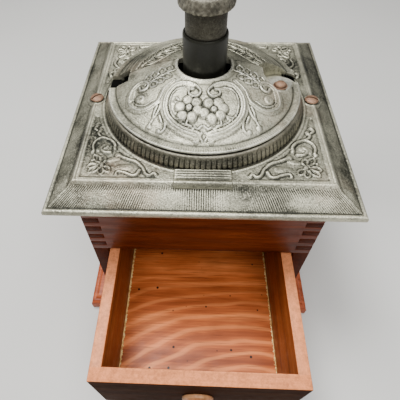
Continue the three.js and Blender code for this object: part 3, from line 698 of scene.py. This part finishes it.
def makeRearDome(shape):
    inner = postRadius + 0.5
    top = domeTop(inner, 53.2)
    under = [(r, float(domeAt(r)) - 2.8) for r in (inner, 20, 28, 36, 44, 48, 50.4)]
    profile = [(57, 144.6), (57, 146.9), (56.85, 147.3), (56.5, 147.5), (55.6, 147.5), (54.8, 147.5),
               (53.9, 147.5)]
    profile += top + under + [(50.4, 144.6)]
    dome = spun('rear_dome', profile, shape['steps'])
    cutAtSeam(dome, False)
    cutBy(dome, box('finger_slot_tool', *fingerSlot))
    cutBy(dome, rod('recess_tool', swingRecess * mm, 0.145, 0.168, pivotAt))
    places = points(dome)
    x, y, z = (places / mm).T
    r = np.hypot(x, y)
    top = (r < 53.6) & (z > domeAt(np.minimum(r, 60)) - 0.3)
    x, y, r = x[top], y[top], r[top]
    ax = -np.abs(x)
    height = np.zeros(x.shape)
    for foot, tip in shape['cellsOut'] + shape['cellsIn']:
        leaflet(ax, y, height, foot, tip, 3.8, 0.75, 0.6)
    ridge(ax, y, height, shape['spray'], 0.9, 0.6)
    for arc in shape['arcs']:
        ridge(ax, y, height, arc, 0.8, 0.55)
    for ringRadius in shape['rings']:
        height = np.maximum(height, 0.42 * np.exp(-((r - ringRadius) / 0.5) ** 2))
    height += 0.5 * np.exp(-((r - inner - 0.9) / 0.8) ** 2)
    places[top, 2] += height * mm
    movePoints(dome, places)
    return smooth(dome, 45)


dressed(makeRearDome(domeLines), 'top_plate', topIron)
cutBy(reededRing, box('ring_slot_tool', *fingerSlot))
smooth(reededRing, 60)
# painted shadow, with grime: the ring's top under the lid rim gets the dark inner iron
secondFinish(reededRing, (-0.0562, -0.0562, 0.1449), (0.0562, 0.0562, 0.1451), innerIron, 0.0562)
# painted shadow: the ring's faces in the finger slot get the near-black finish
secondFinish(reededRing, slotLow, (-0.0443, 0.0090, 0.1449), slotShadowFinish)
print('rear half of the dome')


fittings = dict(padRadius=5.5, tabWidth=30, tabFront=70.2, tabBack=59.4, ribs=4)


def makeFittings(shape):
    made = []
    for sign in (-1, 1):
        profile = [(4.2, 134), (shape['padRadius'] + 0.2, 134), (shape['padRadius'] + 0.1, 136.6),
                   (shape['padRadius'] - 0.3, 137.1), (shape['padRadius'] - 0.9, 137.45), (4.7, 137.55),
                   (4.4, 137.4), (4.2, 136.6)]
        made.append(spun('screw_pad', profile, 64, (sign * screwAcross * mm, 0)))
    half = shape['tabWidth'] / 2 * mm
    back, front = -shape['tabBack'] * mm, -shape['tabFront'] * mm
    clearSelection()
    bpy.ops.mesh.primitive_grid_add(x_subdivisions=60, y_subdivisions=64, size=1)
    skin = named('tab_skin')
    places = points(skin)
    x = places[:, 0] * 2 * half
    t = places[:, 1] + 0.5  # 0 at the front lip, 1 at the ring
    y = front + t * (back - front)
    lip = np.exp(-((t - 0.13) / 0.13) ** 2)
    ribs = np.where(t > 0.34, 0.22 * np.cos((t - 0.34) * 2 * math.pi * shape['ribs'] / 0.62), 0)
    z = fieldTop + 1.25 + 1.35 * lip + ribs
    z -= 2.4 * np.clip((0.06 - t) / 0.06, 0, 1) ** 2
    z -= 0.9 * np.clip((np.abs(places[:, 0]) - 0.475) / 0.025, 0, 1) ** 2
    movePoints(skin, np.stack([x, y, z * mm], axis=1))
    editAll(skin)
    bpy.ops.mesh.region_to_loop()
    bpy.ops.mesh.extrude_edges_move()
    bpy.ops.transform.resize(value=(1, 1, 0), center_override=(0, 0, 0.1352))
    bpy.ops.mesh.edge_face_add()
    bpy.ops.object.mode_set(mode='OBJECT')
    mended(skin)
    made.append(skin)
    # floor of the recess that the lid turns in, and the boss its rivet goes into
    floorDisc = rod('recess_floor', recessWall * mm, 0.1425, 0.145, pivotAt, 96)
    cutBy(floorDisc, rod('recess_trim', 0.0532, 0.140, 0.150, sides=128), 'INTERSECT')
    wall = spun('recess_wall', [(swingRecess, 144.5), (recessWall, 144.5), (recessWall, 166),
                                (swingRecess, 166)], 96, pivotAt)
    domeUnder = [(r, float(domeAt(r)) - 0.6) for r in (52.8, 45, 38, 30, 22)]
    under = spun('under_dome', [(0, 144.5), (52.8, 144.5)] + domeUnder + [(0, 160)], 96)
    cutBy(wall, under, 'INTERSECT')
    cutAtSeam(wall, False)
    boss = rod('rivet_boss', 0.0084, plateUnder * mm, 0.144, pivotAt, 64)
    made += [floorDisc, wall, boss]
    return smooth(joined(made, 'top_fittings'), 40)


dressed(makeFittings(fittings), 'top_plate', topIron)
print('screw pads, tab and recess')


lidRelief = dict(
    heart=[(3.6, -48), (11.3, -45.2), (17.5, -40.3), (20.8, -34.6), (21.4, -28.4), (19.8, -22.7),
           (15.8, -18.1), (10.8, -17.2), (5.6, -19.2), (2.2, -23), (2.7, -25.9), (5.6, -27), (8.2, -25.2),
           (7.9, -22.8), (5.8, -22.3)],
    inner=[(5, -44.5), (12, -41), (16.8, -36), (18.3, -30), (17.4, -24.5), (14.6, -21), (10.5, -20.2)],
    foot=[[(3.6, -48), (5.2, -49.2), (4.4, -50.8), (2.6, -50.4)], [(1.2, -46.6), (1.8, -48.6), (0.6, -50.4)],
          [(6.8, -43.2), (9, -42), (8.6, -39.8)]],
    petals=[(-8.7, -28.8), (-12.8, -32.4), (-11.6, -37.6), (-6.4, -38.5), (-3.3, -34.9), (-4.2, -30.5),
            (2.3, -31), (7.5, -30.3), (9.9, -33.4), (8.6, -37.2), (4, -39.4), (-0.1, -36.5)],
    eyes=[(-8.0, -33.4), (5.1, -34.6)], petalRadius=3.15,
    sprigs=[[(-14, -29.6), (-16.4, -28.2)], [(-13.6, -28), (-15, -26.2)], [(11.6, -37.4), (14.6, -37.9),
                                                                           (17, -36.6)],
            [(12.2, -38.6), (15.2, -39.6)], [(0, -43), (2.2, -44.6), (4, -43.6)], [(-1, -43), (-3.2, -44.6),
                                                                                   (-5, -43.2)]],
    side=[(-36.4, -14.3), (-35.2, -17.1), (-32.1, -16.7), (-31.2, -13.8), (-33, -11.2), (-36.8, -10.5),
          (-40.9, -14.4), (-41.8, -22.6), (-37.7, -28.2), (-32.3, -30.1), (-26.5, -28.1), (-24.1, -25.9),
          (-21.8, -20), (-17, -14.6)],
    sideInner=[(-39, -15.2), (-39.6, -21.6), (-36.6, -25.8), (-32, -27.2), (-28, -25.4)],
    bud=(-35.4, -22.4), rib=[(-33, -13.5), (-26, -10), (-19, -6.8), (-15.5, -6)],
    leafletsUp=[((-31.6, -11.4), (-32, -6.0)), ((-28.2, -9.8), (-28.2, -3.9)), ((-24.4, -8.0), (-24, -1.8)),
                ((-20.4, -6.4), (-19.6, -0.8))],
    leafletsDown=[((-29.8, -12.4), (-26.6, -16.4)), ((-26.2, -10.8), (-22.4, -14.4)), ((-22.6, -9.0),
                                                                                       (-18.4, -11.8))],
    tendrils=[[(-22.5, -25), (-24.5, -33), (-28.5, -38.5), (-29.4, -40.4)],
              [(-21.5, -30), (-20.8, -38), (-20.5, -42.5), (-22.5, -44.4), (-24.6, -43.4)],
              [(-25.2, -30), (-26.6, -33), (-27, -36)], [(-23.6, -35.8), (-22.4, -39.2)]],
    drops=[(-29.2, -40.6, 1.6), (-23.8, -43.9, 1.4), (-27, -36.2, 1.0)],
    line=0.9, rise=0.95, steps=820)

# the sunk pad round the rivet has straight sides
lidPad = dict(outline=[(33.9, 14), (33.9, -2.4), (40.9, -14.2), (46.9, -8.9), (54.2, 2.2), (60, 14)],
              earRadius=9.5, notchRadius=15.3, holdEdge=-44.5, holdFront=-3.1)


def makeLid(relief, pad):
    inner = pad['notchRadius']
    under = [(r, float(domeAt(r)) - 2.8) for r in (inner, 20, 28, 36, 44, 48, 50.4)]
    rim = [(54.6, 145.3), (56.3, 146.1), (56.75, 146.5), (56.75, 147.1), (56.6, 147.35), (56.3, 147.5)]
    rim += [(r, 147.5) for r in np.linspace(55.9, 53.7, 6)]
    profile = rim + domeTop(inner, 53.2, 0.46) + under + [(50.4, 145.3)]
    lid = spun('hopper_lid_cast', profile, relief['steps'])
    cutAtSeam(lid, True)
    ear = rod('lid_ear', pad['earRadius'] * mm, 0.1453, 0.14749, pivotAt, 96)
    cutBy(lid, ear, 'UNION')
    clearSelection()
    bpy.ops.mesh.primitive_circle_add(vertices=len(pad['outline']), radius=0.01, fill_type='NGON')
    pocket = named('pocket_tool')
    for vertex, (px, py) in zip(pocket.data.vertices, pad['outline']):
        vertex.co = (px * mm, py * mm, 0.14752)
    editAll(pocket)
    bpy.ops.mesh.extrude_region_move(TRANSFORM_OT_translate={'value': (0, 0, 0.02)})
    bpy.ops.mesh.select_all(action='SELECT')
    bpy.ops.mesh.normals_make_consistent(inside=False)
    bpy.ops.object.mode_set(mode='OBJECT')
    cutBy(lid, pocket)
    cutBy(lid, box('hold_tool', (-0.07, pad['holdFront'] * mm, 0.144), (pad['holdEdge'] * mm, 0.02, 0.168)))
    places = points(lid)
    x, y, z = (places / mm).T
    r = np.hypot(x, y)
    top = (r < 53.3) & (z > domeAt(np.minimum(r, 60)) - 0.3)
    x, y, r = x[top], y[top], r[top]
    height = np.zeros(x.shape)
    band = np.zeros(x.shape)
    for flip in (1, -1):
        fx = x * flip
        ridge(fx, y, band, relief['heart'][:9], 2.5, 0.7, 0.35, 0.22)
        ridge(fx, y, band, relief['side'][4:], 1.9, 0.55, 0.2, 0.22)
        ridge(fx, y, height, relief['heart'], relief['line'], relief['rise'] + 0.2, 0.2)
        ridge(fx, y, height, relief['inner'], 0.55, 0.5, 0.4)
        for corners in relief['foot']:
            ridge(fx, y, height, corners, 0.75, 0.6)
        ridge(fx, y, height, relief['side'], relief['line'], relief['rise'], 0.3)
        ridge(fx, y, height, relief['sideInner'], 0.5, 0.45, 0.3)
        button(fx, y, height, relief['bud'], 2.9, 0.75, 0.25)
        for foot, tip in relief['leafletsUp'] + relief['leafletsDown']:
            leaflet(fx, y, height, foot, tip, 4.0, 0.8, 0.7)
        ridge(fx, y, height, relief['rib'], 0.6, 0.6)
        for corners in relief['tendrils']:
            ridge(fx, y, height, corners, 0.75, 0.6, 0.2)
        for bx, by, size in relief['drops']:
            button(fx, y, height, (bx, by), size, 0.7)
    for corners in relief['sprigs']:
        ridge(x, y, height, corners, 0.6, 0.5, 0.2)
    for center in relief['petals']:
        button(x, y, height, center, relief['petalRadius'], 1.15, 0.1)
    for center in relief['eyes']:
        button(x, y, height, center, 2.0, 1.45, 0.3)
    height = np.maximum(height, band)
    height -= 0.45 * np.exp(-((r - 52.4) / 0.45) ** 2)
    height += 0.65 * np.exp(-((r - inner - 0.9) / 0.9) ** 2)
    height -= 0.2 * np.exp(-((r - inner - 3.2) / 0.7) ** 2)
    places[top, 2] += height * mm
    # fine cross lines on the flat rim
    flatRim = (np.abs(places[:, 2] / mm - 147.5) < 0.02) & (np.hypot(places[:, 0], places[:, 1]) > 0.0538)
    turn = np.arctan2(places[flatRim, 1], places[flatRim, 0])
    places[flatRim, 2] += 0.09 * mm * np.cos(turn * 270)
    movePoints(lid, places)
    return smooth(lid, 45)


dressed(makeLid(lidRelief, lidPad), 'hopper_lid', litLidIron)
print('hopper lid')


rivetShape = [(0, 132), (1.8, 132), (1.8, 147.7), (4.2, 147.7), (4.2, 147.95), (3.6, 148.0), (3.35, 148.3),
              (3.2, 149.0), (2.5, 149.7), (1.3, 150.2), (0, 150.35)]
rivet = spun('lid_rivet_head', rivetShape, 64, pivotAt)
dressed(smooth(rivet, 40), 'lid_rivet', screwFinish)

screwShape = dict(seat=137.75, head=4.1, slot=1.1, turn={-1: 40, 1: -20})


def makePlateScrew(sign, shape):
    seat, head = shape['seat'], shape['head']
    profile = [(0, seat - 30), (1.0, seat - 28), (1.75, seat - 25), (1.75, seat - 1),
               (head - 0.3, seat - 0.3),
               (head, seat + 0.1), (head - 0.15, seat + 0.55), (head * 0.8, seat + 1.1),
               (head * 0.5, seat + 1.6),
               (head * 0.2, seat + 1.8), (0, seat + 1.85)]
    screw = spun('plate_screw', profile, 56)
    slot = box('slot_tool', (-0.009, -shape['slot'] / 2 * mm, (seat + 0.6) * mm),
               (0.009, shape['slot'] / 2 * mm, (seat + 4) * mm))
    slot.rotation_euler[2] = math.radians(shape['turn'][sign])
    cutBy(screw, settle(slot))
    screw.location = (sign * screwAcross * mm, 0, 0)
    return smooth(settle(screw), 35)


for sign, side in ((-1, 'left'), (1, 'right')):
    screw = makePlateScrew(sign, screwShape)
    screw.name = 'plate_screw_' + side + '_turned'
    dressed(screw, 'plate_screw_' + side, screwFinish)
print('rivet and plate screws')


# post with its bar: turned post, filed bar ends
postShape = [(5.25, 131.5), (12.4, 131.5), (12.4, 150), (12.3, 165), (12.4, 179.6), (12.3, 180.4),
             (11.95, 180.95), (11.35, 181.0), (11.35, 176), (5.25, 176)]
post = spun('bearing_post', postShape, 96)
bar = box('post_bar', (-0.0512, -0.006, 0.1315), (0.0512, 0.006, 0.1365))
cutBy(bar, rod('bar_bore', 0.0122, 0.130, 0.140))
cutBy(bar, rod('bar_round', 0.0514, 0.130, 0.140, sides=96), 'INTERSECT')
for sign in (-1, 1):
    cutBy(bar, rod('bar_hole', 0.0017, 0.130, 0.140, (sign * 0.049, 0), 24))
beveled(bar, 0.0004)
bar.rotation_euler[2] = math.radians(-22)
settle(bar)
post = smooth(joined([post, bar], 'bearing_post'), 40)
dressed(post, 'upper_bridge', postIron)
for node in ('upper_bridge_screw_left', 'upper_bridge_screw_right'):
    eased(node, steelFinish, 0.1)
print('post')


crankShape = dict(hubTop=194.2, lump=0.30, voxel=0.6)


def makeCrank(shape):
    # the hub is smooth, the eye and arm rough as forged
    crank = eased('crank_arm', crankIron, 0)
    addModifier(crank, 'REMESH', mode='VOXEL', voxel_size=shape['voxel'] * mm)
    places = points(crank)
    x, y, z = (places / mm).T
    rough = np.clip((z - shape['hubTop']) / 0.6, 0, 1)
    lump = np.sin(x * 1.9 + 1.7 * np.sin(y * 1.3)) * np.sin(y * 2.1 + z * 1.4)
    lump += 0.5 * np.sin(x * 4.1 + y * 3.7 + z * 4.4)
    away = np.stack([vertex.normal[:] for vertex in crank.data.vertices])
    places += away * (shape['lump'] * mm * 0.5 * rough * (lump - 0.6))[:, None]
    movePoints(crank, places)
    addModifier(crank, 'SMOOTH', factor=0.5, iterations=3)
    return smooth(crank, 60)


crank = makeCrank(crankShape)
secondFinish(crank, (-1, -1, -1), (1, 1, crankShape['hubTop'] * mm), hubIron)

washerShape = [(3.9, 203.7), (7.3, 203.7), (7.6, 203.95), (7.6, 204.8), (7.3, 205.1), (3.9, 205.1)]
washer = spun('crank_washer_round', washerShape, 72)
dressed(smooth(washer, 30), 'crank_washer', steelFinish)
eased('crank_nut', steelFinish, 0.5, 3)
eased('spindle', steelFinish, 0.2)
print('crank')

handleAt = tuple((a + b) / 2 for a, b in zip(*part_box('handle_pin')))[:2]
knobLow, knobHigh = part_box('crank_knob')[0][2] / mm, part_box('crank_knob')[1][2] / mm
handleShape = [(3.15, 0.4), (6.8, 0), (7.5, 0.3), (7.9, 1.2), (7.7, 2.2), (7.2, 2.8), (7.4, 4.2), (7.6, 6),
               (8.0, 9), (8.8, 12), (10.2, 15), (11.9, 18), (13.4, 21), (14.4, 24), (14.8, 27), (14.4, 29.6),
               (13.2, 32), (11.2, 34.2), (8.6, 35.4), (6.2, 35.9), (3.15, 36)]
handle = spun('crank_knob_turned', [(r, knobLow + z * (knobHigh - knobLow) / 36) for r, z in handleShape], 80,
              handleAt)
dressed(smooth(handle, 35), 'crank_knob', handleWood)
pinLow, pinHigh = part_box('handle_pin')[0][2] / mm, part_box('handle_pin')[1][2] / mm
pinShape = [(0, pinLow), (4.6, pinLow), (5, pinLow + 0.3), (5, pinLow + 1), (2.85, pinLow + 1),
            (2.85, pinHigh - 2),
            (5, pinHigh - 2), (4.9, pinHigh - 1.2), (4.2, pinHigh - 0.6), (2.6, pinHigh - 0.1), (0, pinHigh)]
pin = spun('handle_pin_turned', pinShape, 56, handleAt)
dressed(smooth(pin, 30), 'handle_pin', steelFinish)
print('handle')


for node, finish in (('box_left_side', caseDeep), ('box_right_side', caseDeep), ('box_back', caseAcross),
                     ('box_front_rail', caseAcross)):
    eased(node, finish, 0.2)
eased('base_board', baseWood, 0.25, 3, 20)
for corner in ('right_rear', 'left_rear', 'right_front', 'left_front'):
    eased('base_screw_' + corner, screwFinish, 0.15)
print('case')


drawerShape = dict(edge=0.55, worn=0.22, glueWidth=1.15)


def makeBoard(name, low, high, shape, finish, node, lengthAxis):
    # a drawer board: cut into short lengths so that its edges can waver a little
    board = box(name, low, high)
    beveled(board, shape['edge'] * mm, 3)
    editAll(board)
    for step in range(1, 60):
        place = [0, 0, 0]
        place[lengthAxis] = low[lengthAxis] + (high[lengthAxis] - low[lengthAxis]) * step / 60
        normal = [0, 0, 0]
        normal[lengthAxis] = 1
        bpy.ops.mesh.select_all(action='SELECT')
        bpy.ops.mesh.bisect(plane_co=place, plane_no=normal)
    bpy.ops.object.mode_set(mode='OBJECT')
    places = points(board)
    along = places[:, lengthAxis] / mm
    top = places[:, 2] > high[2] - 0.001
    worn = shape['worn'] * mm * (0.5 + 0.5 * np.sin(along * 0.31 + 2 * np.sin(along * 0.11))) * 0.6
    places[top, 2] -= worn[top]
    movePoints(board, places)
    return dressed(smooth(board, 40), node, finish)


frontLow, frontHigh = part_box('drawer_front')
makeBoard('drawer_front_board', frontLow, frontHigh, drawerShape, shadedFrontWood, 'drawer_front', 0)
for side in ('left', 'right'):
    low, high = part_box('drawer_' + side + '_side')
    low[1] = frontHigh[1] - 0.0010
    makeBoard('drawer_' + side + '_board', low, high, drawerShape, sideWood, 'drawer_' + side + '_side', 1)
low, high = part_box('drawer_back')
makeBoard('drawer_back_board', low, high, drawerShape, sideWood, 'drawer_back', 0)
eased('drawer_floor', floorWood, 0)


def makeGlue(side, shape):
    # an old line of glue where the floor meets the side, of uneven width
    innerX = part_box('drawer_' + side + '_side')[1 if side == 'left' else 0][0]
    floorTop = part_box('drawer_floor')[1][2]
    start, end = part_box('drawer_floor')[0][1] + 0.0003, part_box('drawer_floor')[1][1] - 0.008
    inward = 1 if side == 'left' else -1
    clearSelection()
    bpy.ops.mesh.primitive_grid_add(x_subdivisions=220, y_subdivisions=5, size=1)
    glue = named('glue_line_' + side)
    places = points(glue)
    t, s = places[:, 0] + 0.5, places[:, 1] + 0.5
    y = start + t * (end - start)
    v = y / mm
    wide = shape['glueWidth'] * (0.75 + 0.3 * np.sin(v * 1.7 + 2 * np.sin(v * 0.6)) + 0.22 * np.sin(v * 4.3))
    x = innerX + inward * s * np.clip(wide, 0.25, 2) * mm
    z = floorTop + (0.08 + 0.35 * np.sin(np.clip(s, 0, 1) * math.pi) + 0.1 * np.sin(v * 3.1)) * mm
    movePoints(glue, np.stack([x, y, z], axis=1))
    addModifier(glue, 'SOLIDIFY', thickness=0.0003, offset=-1)
    smooth(mended(glue, 0.0000001), 60)
    glue.data.materials.append(glueFinish)
    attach(glue, 'drawer')
    return glue


glue = Finish('old_glue', Roughness=0.45)
glueColor = glue.ramp(glue.noise(420, 4), (0.35, (0.42, 0.20, 0.05)), (0.5, (0.85, 0.56, 0.20)),
                      (0.65, (0.95, 0.74, 0.36)))
glueFinish = glue.done(Base_Color=glueColor, Normal=glue.bump(glue.noise(900, 2), 0.5, 0.0002))
for side in ('left', 'right'):
    makeGlue(side, drawerShape)
print('drawer')


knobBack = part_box('drawer_knob')[1][1]
knobHeight = (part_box('drawer_knob')[0][2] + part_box('drawer_knob')[1][2]) / 2
knobShape = [(0, 0), (8.6, 0), (9.0, 0.4), (9.1, 1.3), (8.8, 2.1), (7.6, 2.8), (6.0, 3.4), (5.0, 4.2),
             (4.7, 5.2),
             (5.2, 6.4), (6.4, 7.6), (7.8, 8.8), (8.8, 10.2), (9.1, 11.8), (8.9, 13.2), (8.2, 14.6),
             (6.9, 15.7),
             (5.0, 16.4), (2.6, 16.9), (0, 17)]
knob = spun('drawer_knob_turned', knobShape, 72)
knob.rotation_euler[0] = math.pi / 2
knob.location = (0, knobBack, knobHeight)
dressed(smooth(settle(knob), 35), 'drawer_knob', knobWood)
eased('drawer_knob_screw', screwFinish, 0.1)
print('drawer knob')


for node in ('hopper', 'lower_bridge', 'outer_burr', 'inner_burr'):
    eased(node, innerIron, 0.2)
for node in frame["nodes"]:
    if node.startswith(('hopper_screw', 'lower_bridge_screw')) or node in ('lock_nut', 'thrust_disc',
                                                                           'burr_pin',
                                                                             'adjusting_screw'):
        eased(node, steelFinish, 0.12)
print('inside parts')


viewShape = dict(place=(-3.85, -187.1, 278.4), yaw=-0.0623, pitch=0.9166, roll=-0.0293, lens=32.63,
                 shift=0.047)


def makeCamera(shape):
    yaw, pitch, roll = shape['yaw'], shape['pitch'], shape['roll']
    ahead = Vector((math.sin(yaw) * math.cos(pitch), math.cos(yaw) * math.cos(pitch), -math.sin(pitch)))
    right = Vector((math.cos(yaw), -math.sin(yaw), 0))
    up = right.cross(ahead)
    rightRolled = math.cos(roll) * right + math.sin(roll) * up
    upRolled = -math.sin(roll) * right + math.cos(roll) * up
    data = bpy.data.cameras.new('camera')
    data.lens, data.sensor_width, data.clip_start, data.shift_x = shape['lens'], 36, 0.01, shape['shift']
    camera = bpy.data.objects.new('camera', data)
    bpy.context.collection.objects.link(camera)
    turned = Matrix((rightRolled, upRolled, -ahead)).transposed()
    camera.matrix_world = Matrix.Translation(Vector(shape['place']) * mm) @ turned.to_4x4()
    bpy.context.scene.camera = camera


def makeLamp(name, place, aim, size, power, color=(1, 1, 1)):
    data = bpy.data.lights.new(name, 'AREA')
    data.energy, data.size, data.color = power, size, color
    lamp = bpy.data.objects.new(name, data)
    bpy.context.collection.objects.link(lamp)
    lamp.location = place
    lamp.rotation_euler = (Vector(aim) - Vector(place)).to_track_quat('-Z', 'Y').to_euler()


makeCamera(viewShape)
makeLamp('key_lamp', (-0.30, 0.10, 1.05), (0, -0.03, 0.12), 0.40, 12, (1.0, 0.985, 0.95))
makeLamp('overhead_box', (0.02, -0.20, 1.10), (0, -0.05, 0.12), 1.0, 15, (1.0, 0.99, 0.96))
makeLamp('front_lamp', (0.25, -0.80, 0.95), (0, -0.05, 0.10), 0.6, 3, (1.0, 0.99, 0.97))
world = bpy.data.worlds.new('studio')
bpy.context.scene.world = world
world.use_nodes = True
world.node_tree.nodes['Background'].inputs['Color'].default_value = (0.80, 0.82, 0.86, 1)
world.node_tree.nodes['Background'].inputs['Strength'].default_value = 0.14

clearSelection()
bpy.ops.mesh.primitive_plane_add(size=6, location=(0, 0, cadBox[0][2] - 0.0002))
floor = settle(named('studio_floor'))
floorPaint = Finish('studio_floor_paint', Roughness=0.75)
floor.data.materials.append(floorPaint.done(Base_Color=floorPaint.ramp(floorPaint.noise(3, 2),
                                                                       (0.3, (0.56, 0.56, 0.55)),
                                                                       (0.7, (0.60, 0.60, 0.59)))))
print('camera, lamps and floor')
